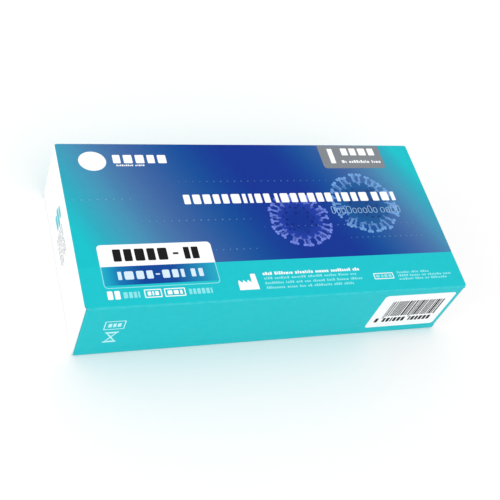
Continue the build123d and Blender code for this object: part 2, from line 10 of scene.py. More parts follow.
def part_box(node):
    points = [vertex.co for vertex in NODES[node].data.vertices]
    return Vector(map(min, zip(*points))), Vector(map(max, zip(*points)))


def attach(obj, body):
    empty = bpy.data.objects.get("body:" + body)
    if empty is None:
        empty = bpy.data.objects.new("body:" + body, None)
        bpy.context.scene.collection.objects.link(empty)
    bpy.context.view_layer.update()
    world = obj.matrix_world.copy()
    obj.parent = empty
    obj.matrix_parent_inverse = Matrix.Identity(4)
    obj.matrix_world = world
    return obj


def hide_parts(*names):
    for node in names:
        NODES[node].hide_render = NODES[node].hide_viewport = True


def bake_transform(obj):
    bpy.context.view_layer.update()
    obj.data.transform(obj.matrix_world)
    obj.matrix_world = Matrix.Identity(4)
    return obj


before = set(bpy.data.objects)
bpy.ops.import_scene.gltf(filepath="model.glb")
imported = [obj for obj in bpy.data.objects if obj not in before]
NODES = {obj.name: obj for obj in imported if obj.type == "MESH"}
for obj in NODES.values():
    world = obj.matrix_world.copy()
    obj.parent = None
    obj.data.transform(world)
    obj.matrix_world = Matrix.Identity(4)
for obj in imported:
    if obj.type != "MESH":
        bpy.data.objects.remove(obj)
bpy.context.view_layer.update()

# A closed, printed carton on its large bottom panel, with a test kit inside. X runs along it, Y from its
# front side panel to the back one, and Z up. Sizes are in millimetres where nothing else is said.
MM = 0.001


def box_mm(node):
    """A node's lowest and highest corner in millimetres."""
    low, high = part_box(node)
    return low / MM, high / MM


# The carton's own sizes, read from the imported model
HALF_LENGTH = -box_mm("left_tuck_flap")[0].x
_, HALF_WIDTH, HEIGHT = box_mm("teal_print")[1]
FIELD_EDGE = box_mm("blue_print")[0].y
TOP_END = box_mm("blue_print")[1].x
# A printed film's thickness, and what each level adds to keep overlapping films apart
INK = 0.03
INK_STEP = 0.01

# The camera of the photograph, found from the carton's corners
IMAGE_SIDE = 500
FOCAL_PIXELS = 956.9
SENSOR = 36.0
CAMERA_PLACE = Vector((-153.61, -211.81, 317.91)) * MM
CAMERA_FORWARD = Vector((0.38067, 0.52370, -0.76212))
CAMERA_RIGHT = Vector((0.92398, -0.24821, 0.29096))
CLIP_METRES = (0.01, 20.0)

# Studio, in metres and watts: a light is its place, its side and its power
SKY_STRENGTH = 1.0
FLOOR_SIDE = 8.0
FLOOR_WHITE = (0.97, 0.97, 0.97)
KEY_LIGHT = ((-1.10, -0.25, 0.45), 0.9, 2.4)
FILL_LIGHT = ((0.30, -0.90, 0.90), 0.9, 0.6)

# What the varnish's sheen adds to an ink, and how bright the studio's light makes it
SHEEN_LIFT = 0.010
LIGHT_LEVEL = 1.05


def linear(r, g, b):
    """A screen colour, 0 to 255, as the linear colour that the shaders take, by the sRGB curve."""
    shares = [c / 255 for c in (r, g, b)]
    return [c / 12.92 if c <= 0.04045 else ((c + 0.055) / 1.055) ** 2.4 for c in shares]


def printed(r, g, b):
    """An ink that looks like a screen colour under the studio's light and the varnish's sheen."""
    return [max(c - SHEEN_LIFT, 0.0) / LIGHT_LEVEL for c in linear(r, g, b)]


# Inks, papers and plastics, as they look on screen
BLACK = (0.0, 0.0, 0.0)
TEAL = printed(37, 201, 210)
# The teal's painted highlight along the long folds
TEAL_HIGHLIGHT = printed(120, 226, 231)
WHITE_INK = linear(252, 253, 254)
PALE_INK = linear(168, 205, 236)
THIN_INK = linear(138, 228, 233)
FRONT_INK = linear(190, 242, 245)
STRIP_WHITE = linear(214, 236, 248)
DOT_INK = linear(150, 190, 235)
TAB_GREY = printed(136, 141, 148)
DARK_INK = linear(20, 18, 20)
END_GREY = linear(150, 160, 166)
END_TEAL = linear(74, 190, 200)
FRAME_LINE = linear(150, 226, 235)
BOARD_WHITE = linear(249, 250, 250)
BOARD_FIBRE = linear(241, 242, 241)
PAPER_WHITE = linear(246, 246, 243)
PAPER_FIBRE = linear(232, 232, 228)
FOIL_GREY = linear(205, 208, 212)
FLOCK_WHITE = linear(247, 247, 244)
SHAFT_WHITE = linear(240, 241, 241)
CAP_WHITE = linear(243, 244, 244)
TUBE_CLEAR = linear(236, 240, 242)
LIQUID_CLEAR = linear(238, 243, 246)
BAG_CLEAR = linear(232, 236, 238)
FILM_CLEAR = linear(244, 247, 248)

# The blue field's colours along its gradient, from the teal corners to the deep blue middle
FIELD_START = -17.0
FIELD_END = 68.0
FIELD_STOPS = (
    (-17, (32, 198, 208)),
    (-8, (50, 175, 196)),
    (0, (67, 160, 190)),
    (6, (74, 148, 186)),
    (12, (75, 132, 178)),
    (20, (73, 116, 171)),
    (28, (64, 103, 165)),
    (38, (45, 93, 161)),
    (48, (28, 82, 157)),
    (58, (24, 67, 153)),
    (68, (20, 57, 151)),
)
# How far the gradient leans at each side, and the right side's rate and shift
FIELD_LEAN_LEFT = 0.43
FIELD_LEAN_RIGHT = 0.46
FIELD_RIGHT_RATE = 1.35
FIELD_RIGHT_SHIFT = 29.2
FIELD_BLEND = 14.0

# The strip under the label, along its length: deep blue in the middle left, teal at the ends
STRIP_STOPS = (
    (0.0, (36, 178, 205)),
    (0.14, (30, 120, 182)),
    (0.34, (26, 72, 156)),
    (0.62, (28, 78, 158)),
    (0.84, (38, 138, 186)),
    (1.0, (44, 176, 203)),
)

# The two spiked figures: a name, a seed, the core's colours in the middle and at the rim, how much of them
# shows over the field, and the spikes' and the dots' colours
FIGURES = (
    ("violet", 4, (24, 58, 150), (42, 70, 176), 0.75, (128, 148, 240), (8, 42, 126)),
    ("blue", 9, (20, 78, 144), (34, 96, 158), 0.8, (124, 176, 234), (4, 56, 116)),
)
# How much of the spikes' colour shows, least and most, and the far spikes' share of each
SPIKE_AMOUNTS = (0.35, 0.95)
FAR_SHARES = (0.6, 0.45)
FIGURE_DOT_AMOUNT = 0.75
ROW_DOT_AMOUNT = 0.28

# Printed board: its specular level, and its least and most roughness
PRINT_SPECULAR = 0.1
PRINT_GLOSS = (0.32, 0.44)
INK_GLOSS = (0.34, 0.46)
# The clouds in a printed colour: their strength and their size
PRINT_CLOUDS = (0.03, 2.5)
INK_CLOUDS = (0.035, 2.2)
CORE_CLOUDS = (0.06, 1.6)
# The part of a noise between its dark and its light clouds
CLOUD_LOW, CLOUD_HIGH = 0.3, 0.7
# The sockets of a colour Mix node
MIX_FACTOR, MIX_FIRST, MIX_SECOND, MIX_RESULT = 0, 6, 7, 2

# A painted highlight: a lighter line along the long folds, where they would catch the light
FOLD_LINE = 0.9
FOLD_LINE_CORE = 0.45
FOLD_HIGHLIGHT = 0.28


class Look:
    """A procedural material while it is put together."""

    def __init__(self, name, roughness=0.4, specular=PRINT_SPECULAR):
        self.material = bpy.data.materials.new(name)
        self.material.use_nodes = True
        self.tree = self.material.node_tree
        self.shader = self.tree.nodes["Principled BSDF"]
        self.set("Roughness", roughness)
        self.set("Specular IOR Level", specular)
        self.place = self.node("TexCoord").outputs["Object"]

    def node(self, kind):
        return self.tree.nodes.new("ShaderNode" + kind)

    def set(self, socket, value):
        self.join(value, self.shader.inputs[socket])

    def join(self, value, socket):
        """A fixed value, or another node's output, into a socket."""
        if isinstance(value, bpy.types.NodeSocket):
            self.tree.links.new(value, socket)
        elif isinstance(value, (list, tuple)) and len(value) == 3 and socket.type == "RGBA":
            socket.default_value = (*value, 1.0)
        else:
            socket.default_value = value

    def math(self, operation, *values):
        node = self.node("Math")
        node.operation = operation
        for socket, value in zip(node.inputs, values):
            self.join(value, socket)
        return node.outputs[0]

    def clamp(self, value, low, high):
        """How far a value is from low to high, from 0 to 1, smoothly."""
        node = self.node("MapRange")
        node.interpolation_type = "SMOOTHSTEP"
        self.join(value, node.inputs["Value"])
        node.inputs["From Min"].default_value = low
        node.inputs["From Max"].default_value = high
        return node.outputs["Result"]

    def mix(self, factor, first, second):
        node = self.node("Mix")
        node.data_type = "RGBA"
        self.join(factor, node.inputs[MIX_FACTOR])
        self.join(first, node.inputs[MIX_FIRST])
        self.join(second, node.inputs[MIX_SECOND])
        return node.outputs[MIX_RESULT]

    def noise(self, size, detail=2.0, stretch=None):
        """Cloudy noise from 0 to 1, with features of about the given size in millimetres."""
        place = self.place
        if stretch:
            turn = self.node("Mapping")
            turn.inputs["Scale"].default_value = stretch
            self.join(place, turn.inputs["Vector"])
            place = turn.outputs["Vector"]
        node = self.node("TexNoise")
        node.inputs["Scale"].default_value = 1 / (size * MM)
        node.inputs["Detail"].default_value = detail
        self.join(place, node.inputs["Vector"])
        return node.outputs["Fac"]

    def clouds(self, size, detail):
        """Noise with its middle tones drawn apart, from 0 to 1."""
        return self.clamp(self.noise(size, detail), CLOUD_LOW, CLOUD_HIGH)

    def ramp(self, value, stops):
        """Colours along a value from 0 to 1."""
        node = self.node("ValToRGB")
        self.join(value, node.inputs["Fac"])
        elements = node.color_ramp.elements
        while len(elements) > 1:
            elements.remove(elements[-1])
        for i, (position, colour) in enumerate(stops):
            stop = elements[0] if i == 0 else elements.new(position)
            stop.position = position
            stop.color = (*colour, 1.0)
        return node.outputs["Color"]

    def axis(self, name):
        """One coordinate of the surface in millimetres."""
        split = self.node("SeparateXYZ")
        self.join(self.place, split.inputs[0])
        return self.math("DIVIDE", split.outputs[name], MM)

    def bump(self, value, strength, height):
        """Small relief of the given height in millimetres."""
        node = self.node("Bump")
        node.inputs["Strength"].default_value = strength
        node.inputs["Distance"].default_value = height * MM
        self.join(value, node.inputs["Height"])
        self.set("Normal", node.outputs["Normal"])

    def vary(self, colour, amount, size):
        """A colour with slight lighter and darker clouds."""
        dark = self.mix(amount, colour, BLACK)
        return self.mix(self.clouds(size, detail=3.0), dark, colour)

    def grain(self, strength=0.25, height=0.02):
        """The fine fibre relief of varnished board."""
        self.bump(self.noise(size=0.35, detail=4.0, stretch=(1.0, 0.45, 1.0)), strength, height)

    def gloss(self, low, high, size=3.0):
        """Roughness that changes slightly from place to place."""
        span = self.math("MULTIPLY", self.clouds(size, detail=2.0), high - low)
        self.set("Roughness", self.math("ADD", span, low))

    def varnished(self, colour, gloss=PRINT_GLOSS):
        """The finished material of a colour printed on varnished board."""
        self.set("Base Color", colour)
        self.gloss(*gloss)
        self.grain()
        return self.material


def field_colour(look):
    """The blue field's gradient, from two of its corners."""
    u = look.math("ADD", look.axis("X"), HALF_LENGTH)
    v = look.math("SUBTRACT", HALF_WIDTH, look.axis("Y"))
    from_left = look.math("SUBTRACT", u, look.math("MULTIPLY", v, FIELD_LEAN_LEFT))
    right = look.math("SUBTRACT", 2 * HALF_LENGTH, u)
    from_right = look.math("ADD", right, look.math("MULTIPLY", v, FIELD_LEAN_RIGHT))
    from_right = look.math("MULTIPLY", from_right, FIELD_RIGHT_RATE)
    from_right = look.math("SUBTRACT", from_right, FIELD_RIGHT_SHIFT)
    depth = look.math("SMOOTH_MIN", from_left, from_right, FIELD_BLEND)
    reach = FIELD_END - FIELD_START
    share = look.math("DIVIDE", look.math("SUBTRACT", depth, FIELD_START), reach)
    stops = [((place - FIELD_START) / reach, printed(*colour)) for place, colour in FIELD_STOPS]
    return look.ramp(share, stops)


def fold_highlight(look, colour, highlight):
    """A colour with a painted highlight: lighter in a thin, uneven line along the long folds."""
    across = look.math("SUBTRACT", HALF_WIDTH, look.math("ABSOLUTE", look.axis("Y")))
    half_height = HEIGHT / 2
    level = look.math("ABSOLUTE", look.math("SUBTRACT", look.axis("Z"), half_height))
    up = look.math("SUBTRACT", half_height, level)
    distance = look.math("ADD", across, up)
    line = look.clamp(distance, FOLD_LINE, FOLD_LINE * FOLD_LINE_CORE)
    patchy = look.clamp(look.noise(size=1.1, detail=5.0, stretch=(0.35, 1.0, 1.0)), 0.25, 0.6)
    share = look.math("MULTIPLY", look.math("MULTIPLY", line, patchy), FOLD_HIGHLIGHT)
    return look.mix(share, colour, highlight)


def ink_look(name, colour):
    look = Look(name)
    return look.varnished(look.vary(colour, *INK_CLOUDS), INK_GLOSS)


def teal_look():
    """The carton's teal, with a painted highlight along the long folds."""
    look = Look("teal_print")
    return look.varnished(look.vary(fold_highlight(look, TEAL, TEAL_HIGHLIGHT), *PRINT_CLOUDS))


def field_look(name, tint=None, amount=0.0):
    """The field's gradient, or a see-through ink over it."""
    look = Look(name)
    colour = field_colour(look)
    if tint is not None:
        colour = look.mix(amount, colour, tint)
    return look.varnished(look.vary(colour, *PRINT_CLOUDS))


def centre_share(look, centre, radius):
    """How far a point is from a figure's centre, as a share of a radius."""
    x = look.math("SUBTRACT", look.axis("X"), centre[0])
    y = look.math("SUBTRACT", look.axis("Y"), centre[1])
    square = look.math("ADD", look.math("MULTIPLY", x, x), look.math("MULTIPLY", y, y))
    return look.math("DIVIDE", look.math("SQRT", square), radius)


def spike_look(name, centre, reach, tint, low, high):
    """A figure's spikes: a see-through ink that gets lighter towards the tips, in patches."""
    look = Look(name)
    tip = look.clamp(centre_share(look, centre, reach), 0.6, 1.0)
    light = look.math("ADD", tip, look.clouds(size=1.6, detail=1.0))
    amount = look.math("ADD", look.math("MULTIPLY", light, (high - low) / 2), low)
    return look.varnished(look.mix(amount, field_colour(look), tint))


def core_look(name, centre, radius, middle, rim, amount):
    """A figure's round core: a see-through ink that changes towards the rim."""
    look = Look(name)
    share = centre_share(look, centre, radius)
    tint = look.mix(look.clamp(share, 0.35, 1.0), middle, rim)
    colour = look.mix(amount, field_colour(look), tint)
    return look.varnished(look.vary(colour, *CORE_CLOUDS))


def strip_look():
    look = Look("label_strip")
    low, high = box_mm("label_strip")
    share = look.math("DIVIDE", look.math("SUBTRACT", look.axis("X"), low.x), high.x - low.x)
    stops = [(place, printed(*colour)) for place, colour in STRIP_STOPS]
    return look.varnished(look.vary(look.ramp(share, stops), *PRINT_CLOUDS))


def board_look():
    """White board with fine grey fibres."""
    look = Look("board_white", roughness=0.5, specular=0.3)
    fibre = look.clamp(look.noise(size=0.25, detail=5.0, stretch=(0.3, 1.0, 1.0)), 0.3, 0.75)
    look.set("Base Color", look.mix(fibre, BOARD_FIBRE, BOARD_WHITE))
    look.gloss(0.45, 0.6)
    look.grain(strength=0.3, height=0.03)
    return look.material


def paper_look():
    """Thin white leaflet paper with a soft fibre."""
    look = Look("paper", roughness=0.75, specular=0.2)
    fibre = look.clamp(look.noise(size=0.5, detail=5.0, stretch=(0.4, 1.0, 1.0)), 0.3, 0.75)
    look.set("Base Color", look.mix(fibre, PAPER_FIBRE, PAPER_WHITE))
    look.bump(look.noise(size=0.3, detail=4.0), strength=0.3, height=0.02)
    return look.material


def foil_look():
    look = Look("foil", roughness=0.3, specular=0.5)
    look.set("Base Color", look.vary(FOIL_GREY, amount=0.08, size=4.0))
    look.set("Metallic", 0.95)
    look.gloss(0.24, 0.4, size=5.0)
    look.bump(look.noise(size=1.2, detail=5.0), strength=0.35, height=0.08)
    return look.material


def plastic_look(name, colour, roughness, clear=0.0, cover=1.0):
    """Moulded plastic, liquid or film: clear lets light through its inside, and cover is its alpha."""
    look = Look(name, roughness, specular=0.5)
    look.set("Base Color", look.vary(colour, amount=0.04, size=6.0))
    look.set("Transmission Weight", clear)
    look.set("Alpha", cover)
    look.set("IOR", 1.46)
    look.bump(look.noise(size=1.5), strength=0.12, height=0.05)
    return look.material


def fibre_look():
    look = Look("swab_fibre", roughness=0.95, specular=0.1)
    look.set("Base Color", look.vary(FLOCK_WHITE, amount=0.12, size=0.3))
    look.set("Sheen Weight", 0.4)
    look.bump(look.noise(size=0.12, detail=6.0), strength=0.8, height=0.08)
    return look.material


# Outlines of printed shapes, as lists of points in millimetres on a panel
CORNER_STEPS = 5


def shrunk(span, inset):
    """A span that is shorter at both ends."""
    return (min(span) + inset, max(span) - inset)


def plate(x, y, radius=0.0):
    """A rectangle, with round corners if it has a radius."""
    x0, x1 = min(x), max(x)
    y0, y1 = min(y), max(y)
    radius = min(radius, (x1 - x0) / 2, (y1 - y0) / 2)
    if radius <= 0:
        return [(x0, y0), (x1, y0), (x1, y1), (x0, y1)]
    centres = ((x1 - radius, y1 - radius, 0), (x0 + radius, y1 - radius, 90))
    centres += ((x0 + radius, y0 + radius, 180), (x1 - radius, y0 + radius, 270))
    points = []
    for cx, cy, start in centres:
        for i in range(CORNER_STEPS + 1):
            angle = math.radians(start + 90 * i / CORNER_STEPS)
            points.append((cx + radius * math.cos(angle), cy + radius * math.sin(angle)))
    return points


def frame_plate(x, y, line, radius=0.0):
    """An outlined rectangle: its outer and its inner outline."""
    return [plate(x, y, radius), plate(shrunk(x, line), shrunk(y, line), max(radius - line, 0.0))]


def placed(points, centre, turn):
    """Points turned by an angle and moved to a centre."""
    c, s = math.cos(turn), math.sin(turn)
    return [(centre[0] + x * c - y * s, centre[1] + x * s + y * c) for x, y in points]


def oval(centre, radius_x, radius_y, count, turn=0.0):
    """A round or oval outline, turned by an angle."""
    angles = [2 * math.pi * i / count for i in range(count)]
    points = [(radius_x * math.cos(angle), radius_y * math.sin(angle)) for angle in angles]
    return placed(points, centre, turn)


def on_top(x, y, lift):
    return Vector((x, y, HEIGHT + lift)) * MM


def on_front(x, y, lift):
    """x along the carton, y up."""
    return Vector((x, -HALF_WIDTH - lift, y)) * MM


def on_left_end(x, y, lift):
    """x from the middle towards the front, y up."""
    return Vector((-HALF_LENGTH - lift, -x, y)) * MM


def side_faces(first, second, count):
    """The faces between two closed rows of corners, each given by the number of its first corner."""
    faces = []
    for i in range(count):
        j = (i + 1) % count
        faces.append((first + i, first + j, second + j, second + i))
    return faces


def end_faces(loops, first, second):
    """Triangles that close both ends of a prism over some outlines."""
    faces = []
    for triangle in tessellate_polygon([[Vector((x, y, 0)) for x, y in loop] for loop in loops]):
        for start in (first, second):
            faces.append(tuple(start + corner for corner in triangle))
    return faces


def film(name, shapes, material, slot, nodes=(), level=0, place=on_top, body="carton"):
    """Printed shapes as one thin film: each shape is one outline, or a list of outlines with holes."""
    corners, faces = [], []
    thick = INK + INK_STEP * level
    for shape in shapes:
        loops = shape if isinstance(shape[0], list) else [shape]
        flat = [point for loop in loops for point in loop]
        first, count = len(corners), len(flat)
        corners += [place(x, y, 0.0) for x, y in flat]
        corners += [place(x, y, thick) for x, y in flat]
        faces += end_faces(loops, first, first + count)
        for loop in loops:
            faces += side_faces(first, first + count, len(loop))
            first += len(loop)
    return mesh_piece(name, corners, faces, material, nodes, body)


def mesh_piece(name, corners, faces, material, nodes=(), body="carton", smooth=False):
    """A mesh that rides a body if one is named, and stands for CAD nodes if any are named."""
    mesh = bpy.data.meshes.new(name)
    mesh.from_pydata(corners, [], faces)
    work = bmesh.new()
    work.from_mesh(mesh)
    bmesh.ops.recalc_face_normals(work, faces=work.faces)
    work.to_mesh(mesh)
    work.free()
    if smooth:
        mesh.shade_smooth()
    piece = bpy.data.objects.new(name, mesh)
    bpy.context.scene.collection.objects.link(piece)
    mesh.materials.append(material)
    if body:
        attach(piece, body)
    if nodes:
        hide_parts(*nodes)
    return piece


# Words stand as rows of plain blocks, one for each letter, with no lettering
LETTER_WIDTHS = (0.5, 0.85, 1.0, 1.0, 1.0, 1.2)
LETTER_GAP = 0.36
LOW_LETTER = 0.72
# A small line's words, in letters: the gap between them, and the shortest and the longest
SMALL_GAP = 1.2
SMALL_WORDS = (2, 9)


def word(x, y, count, draw, corner=0.18, line=0.0, low_share=0.0):
    """A row of letter blocks that fills a span. Some are lower if low_share isn't 0."""
    widths = [draw.choice(LETTER_WIDTHS) for _ in range(count)]
    unit = (x[1] - x[0]) / (sum(widths) + LETTER_GAP * (count - 1))
    start = x[0]
    shapes = []
    for width in widths:
        top = y[1]
        if draw.random() < low_share:
            top = y[0] + (y[1] - y[0]) * LOW_LETTER
        span = (start, start + width * unit)
        radius = corner * min(width * unit, top - y[0])
        if line:
            shapes.append(frame_plate(span, (y[0], top), line, radius))
        else:
            shapes.append(plate(span, (y[0], top), radius))
        start += (width + LETTER_GAP) * unit
    return shapes


def words(x, y, counts, gap, draw, **form):
    """Words of the given letter counts over a span, with a fixed gap between them."""
    letter = (x[1] - x[0] - gap * (len(counts) - 1)) / sum(counts)
    start = x[0]
    shapes = []
    for count in counts:
        end = start + letter * count
        shapes += word((start, end), y, count, draw, **form)
        start = end + gap
    return shapes


def small_line(x, y, letter, draw):
    """A line of small words, for the places of addresses and notes."""
    counts = []
    gap = letter * SMALL_GAP
    left = x[1] - x[0]
    while left > 3 * letter:
        count = min(draw.randint(*SMALL_WORDS), int(left / letter))
        counts.append(count)
        left -= count * letter + gap
    return words(x, y, counts, gap, draw, low_share=0.6, corner=0.1)


DISC_LENGTH = 11.1
NAME_GAP = 2.8
NAME_RISE = -1.1
NAME_HEIGHT = 4.3
NAME_LETTERS = 5
NAME_NOTE = (1.0, 12.5)
NAME_NOTE_RISE = (-1.5, -0.7)
NAME_NOTE_LETTER = 0.75


def corner_print(material):
    """The round mark, the name's blocks and a small line near the back left corner."""
    draw = random.Random(3)
    low, high = box_mm("corner_marks")
    centre = (low.x + DISC_LENGTH / 2, (low.y + high.y) / 2)
    shapes = [oval(centre, DISC_LENGTH / 2, (high.y - low.y) / 2, count=48)]
    name_x = (low.x + DISC_LENGTH + NAME_GAP, high.x)
    name_y = (centre[1] + NAME_RISE, centre[1] + NAME_RISE + NAME_HEIGHT)
    shapes += word(name_x, name_y, NAME_LETTERS, draw, corner=0.12)
    note_x = [name_x[0] + along for along in NAME_NOTE]
    note_y = [name_y[0] + rise for rise in NAME_NOTE_RISE]
    shapes += small_line(note_x, note_y, NAME_NOTE_LETTER, draw)
    film("corner_marks_print", shapes, material, "white_ink", ["corner_marks"])


TITLE_COUNTS = (10, 7, 4, 3)
TITLE_WORD_GAP = 2.2
SUBTITLE_COUNTS = (9, 4)
SUBTITLE_WORD_GAP = 1.7
SUBTITLE_LINE = 0.2
TITLE_LEVEL = 8


def title_print(white, pale):
    """The title as bold blocks, and the thin line under it as fine outlined ones."""
    draw = random.Random(8)
    low, high = box_mm("title_marks")
    shapes = words((low.x, high.x), (low.y, high.y), TITLE_COUNTS, TITLE_WORD_GAP, draw, corner=0.14)
    film("title_print", shapes, white, "white_ink", ["title_marks"], TITLE_LEVEL)
    low, high = box_mm("subtitle_marks")
    shapes = words(
        (low.x, high.x), (low.y, high.y), SUBTITLE_COUNTS, SUBTITLE_WORD_GAP, draw,
        corner=0.42, line=SUBTITLE_LINE, low_share=0.55,
    )
    film("subtitle_print", shapes, pale, "pale_blue_ink", ["subtitle_marks"], TITLE_LEVEL)


# The grey tab's marks, measured from the edges of their place
TAB_BAR = (1.2, 3.6)
TAB_BAR_ENDS = (-0.2, -0.4)
TAB_WORD = (-18.0, -1.6)
TAB_WORD_ENDS = (-4.1, -0.1)
TAB_WORD_LETTERS = 4
TAB_LINE_LENGTH = 19.2
TAB_LINE_HEIGHT = 1.5
TAB_LINE_LETTER = 1.1


def tab_print(white):
    """What stands on the grey tab: a plain upright bar, one word and a small line."""
    draw = random.Random(5)
    low, high = box_mm("tab_marks")
    bar_x = (low.x + TAB_BAR[0], low.x + TAB_BAR[1])
    bar_y = (low.y + TAB_BAR_ENDS[0], high.y + TAB_BAR_ENDS[1])
    word_x = (high.x + TAB_WORD[0], high.x + TAB_WORD[1])
    word_y = (high.y + TAB_WORD_ENDS[0], high.y + TAB_WORD_ENDS[1])
    line_x, line_y = (high.x - TAB_LINE_LENGTH, high.x), (low.y, low.y + TAB_LINE_HEIGHT)
    shapes = [plate(bar_x, bar_y, radius=0.25)]
    shapes += word(word_x, word_y, TAB_WORD_LETTERS, draw, corner=0.12)
    shapes += small_line(line_x, line_y, TAB_LINE_LETTER, draw)
    film("tab_print", shapes, white, "white_ink", ["tab_marks"], level=1)


# The label's and the strip's words: spans from the left end, with letter counts. None is the right end.
# A dash is a span, half its height, and its corners' radius.
LABEL_WORDS = ((0.0, 21.0, 5), (27.6, None, 2))
LABEL_DASH = (23.2, 25.4, 0.45, 0.2)
LABEL_CORNER = 0.14
STRIP_WORDS = ((0.0, 13.4, 4), (17.0, 25.6, 3), (28.2, None, 2))
STRIP_DASH = (14.4, 16.0, 0.3, 0.15)
STRIP_CORNER = 0.18
STRIP_INSETS = (0.3, 0.4)


def dashed_words(low, high, y, spans, dash, corner, draw):
    """Words along a line, with a dash at half height."""
    shapes = []
    for start, end, count in spans:
        right = high.x if end is None else low.x + end
        shapes += word((low.x + start, right), y, count, draw, corner=corner)
    start, end, half, radius = dash
    middle = (low.y + high.y) / 2
    shapes.append(plate((low.x + start, low.x + end), (middle - half, middle + half), radius))
    return shapes


def label_print(dark, white):
    """The word blocks on the white label and on the strip under it."""
    draw = random.Random(12)
    low, high = box_mm("label_marks")
    shapes = dashed_words(low, high, (low.y, high.y), LABEL_WORDS, LABEL_DASH, LABEL_CORNER, draw)
    film("label_words", shapes, dark, "dark_ink", ["label_marks"], level=1)
    low, high = box_mm("strip_marks")
    y = (low.y + STRIP_INSETS[0], high.y - STRIP_INSETS[1])
    shapes = dashed_words(low, high, y, STRIP_WORDS, STRIP_DASH, STRIP_CORNER, draw)
    film("strip_words", shapes, white, "white_ink", ["strip_marks"], level=1)


# The teal band's marks, measured along and back from the top panel's front left corner.
# A line of small words is its start, its end and how far back it is, then its height and its letter.
SIGN_PLACE = (59.9, 4.5)
SIGN_SIZE = (8.1, 7.1)
SIGN_CHIMNEY = 2.6
SIGN_EAVES, SIGN_RIDGE = 3.2, 4.5
SIGN_TAPER, SIGN_SLIP = 0.4, 0.2
ADDRESS_HEAD = ((70.9, 113.0, 10.7, 1.4, 0.95),)
ADDRESS_LINES = (
    (70.9, 111.0, 8.7, 1.1, 0.85),
    (70.9, 113.0, 6.5, 1.1, 0.85),
    (70.9, 108.5, 4.4, 1.1, 0.85),
)
NOTE_LINES = (
    (129.7, 144.7, 8.3, 1.05, 0.8),
    (129.7, 154.9, 6.7, 1.05, 0.8),
    (129.7, 152.2, 5.1, 1.05, 0.8),
)
# The row of marks: spans along and back, with letter counts
ROW = (3.5, 7.1)
ROW_SIGN = ((8.9, 13.6), ROW, 2)
ROW_NUMBER = ((14.8, 20.9), (3.8, 6.4), 4)
ROW_BOXES = ((22.6, 29.2), (30.2, 38.3))
ROW_BOX_LINE = 0.4
ROW_BOX_INSETS = (1.2, 0.95)
ROW_BOX_LETTERS = 3
ROW_CODE = ((39.7, 48.9), (4.0, 6.4), 6)
NOTE_BOX = ((118.6, 127.6), (6.0, 8.9))
NOTE_BOX_LINE = 0.35
NOTE_BOX_WORDS = ((0.9, 4.3), (4.7, 8.1))
NOTE_BOX_INSET = 0.8
NOTE_BOX_LETTERS = 2


def from_corner(x, y):
    """Spans from the top panel's front left corner, as spans on the panel."""
    return (x[0] - HALF_LENGTH, x[1] - HALF_LENGTH), (y[0] - HALF_WIDTH, y[1] - HALF_WIDTH)


def band_lines(lines, draw):
    shapes = []
    for start, end, back, tall, letter in lines:
        shapes += small_line(*from_corner((start, end), (back, back + tall)), letter, draw)
    return shapes


def band_word(x, y, count, draw):
    return word(*from_corner(x, y), count, draw)


def factory_sign():
    """A factory's outline: a saw-tooth roof at the left and a chimney at the right."""
    x, y = SIGN_PLACE[0] - HALF_LENGTH, SIGN_PLACE[1] - HALF_WIDTH
    length, tall = SIGN_SIZE
    tooth = (length - SIGN_CHIMNEY) / 3
    eaves, ridge = y + SIGN_EAVES, y + SIGN_RIDGE
    points = [(x + length, y), (x + length - SIGN_TAPER, y + tall)]
    points += [(x + length - SIGN_CHIMNEY + SIGN_SLIP, y + tall), (x + 3 * tooth, eaves)]
    for i in (2, 1, 0):
        points += [(x + i * tooth + SIGN_TAPER, ridge), (x + i * tooth, eaves)]
    points.append((x, y))
    return points


def add_mark_row(bold, fine, draw):
    """The row of marks under the label: a sign, a number, two boxes and a code."""
    bold += band_word(*ROW_SIGN, draw)
    fine += band_word(*ROW_NUMBER, draw)
    for span in ROW_BOXES:
        x, y = from_corner(span, ROW)
        bold.append(frame_plate(x, y, ROW_BOX_LINE, radius=0.3))
        inner = (shrunk(x, ROW_BOX_INSETS[0]), shrunk(y, ROW_BOX_INSETS[1]))
        bold += word(*inner, ROW_BOX_LETTERS, draw)
    fine += band_word(*ROW_CODE, draw)


def add_note_box(bold, fine, draw):
    x, y = from_corner(*NOTE_BOX)
    bold.append(frame_plate(x, y, NOTE_BOX_LINE, radius=0.25))
    for start, end in NOTE_BOX_WORDS:
        span = (x[0] + start, x[0] + end)
        fine += word(span, shrunk(y, NOTE_BOX_INSET), NOTE_BOX_LETTERS, draw)


def band_print(white, thin):
    """What stands on the teal band: bold marks in white, and fine ones in a thinner ink."""
    draw = random.Random(21)
    bold = [factory_sign()] + band_lines(ADDRESS_HEAD, draw)
    fine = band_lines(ADDRESS_LINES, draw)
    add_mark_row(bold, fine, draw)
    add_note_box(bold, fine, draw)
    fine += band_lines(NOTE_LINES, draw)
    film("band_print", bold, white, "white_ink", ["band_marks"])
    film("band_fine_print", fine, thin, "white_ink")


# The marks near the front side's left end: a box with three letters over an hourglass sign
FRONT_BOX_HEIGHT = 5.9
FRONT_BOX_LINE = 0.42
FRONT_BOX_INSETS = (1.5, 1.7)
FRONT_BOX_LETTERS = 3
GLASS_SHIFT = -0.15
GLASS_DROP = 1.7
GLASS_HALF = 2.6
GLASS_BAR = 0.75
GLASS_BULB = 0.82
GLASS_WAIST = 0.35
GLASS_HOLE_INSETS = (0.6, 0.36, 0.75)


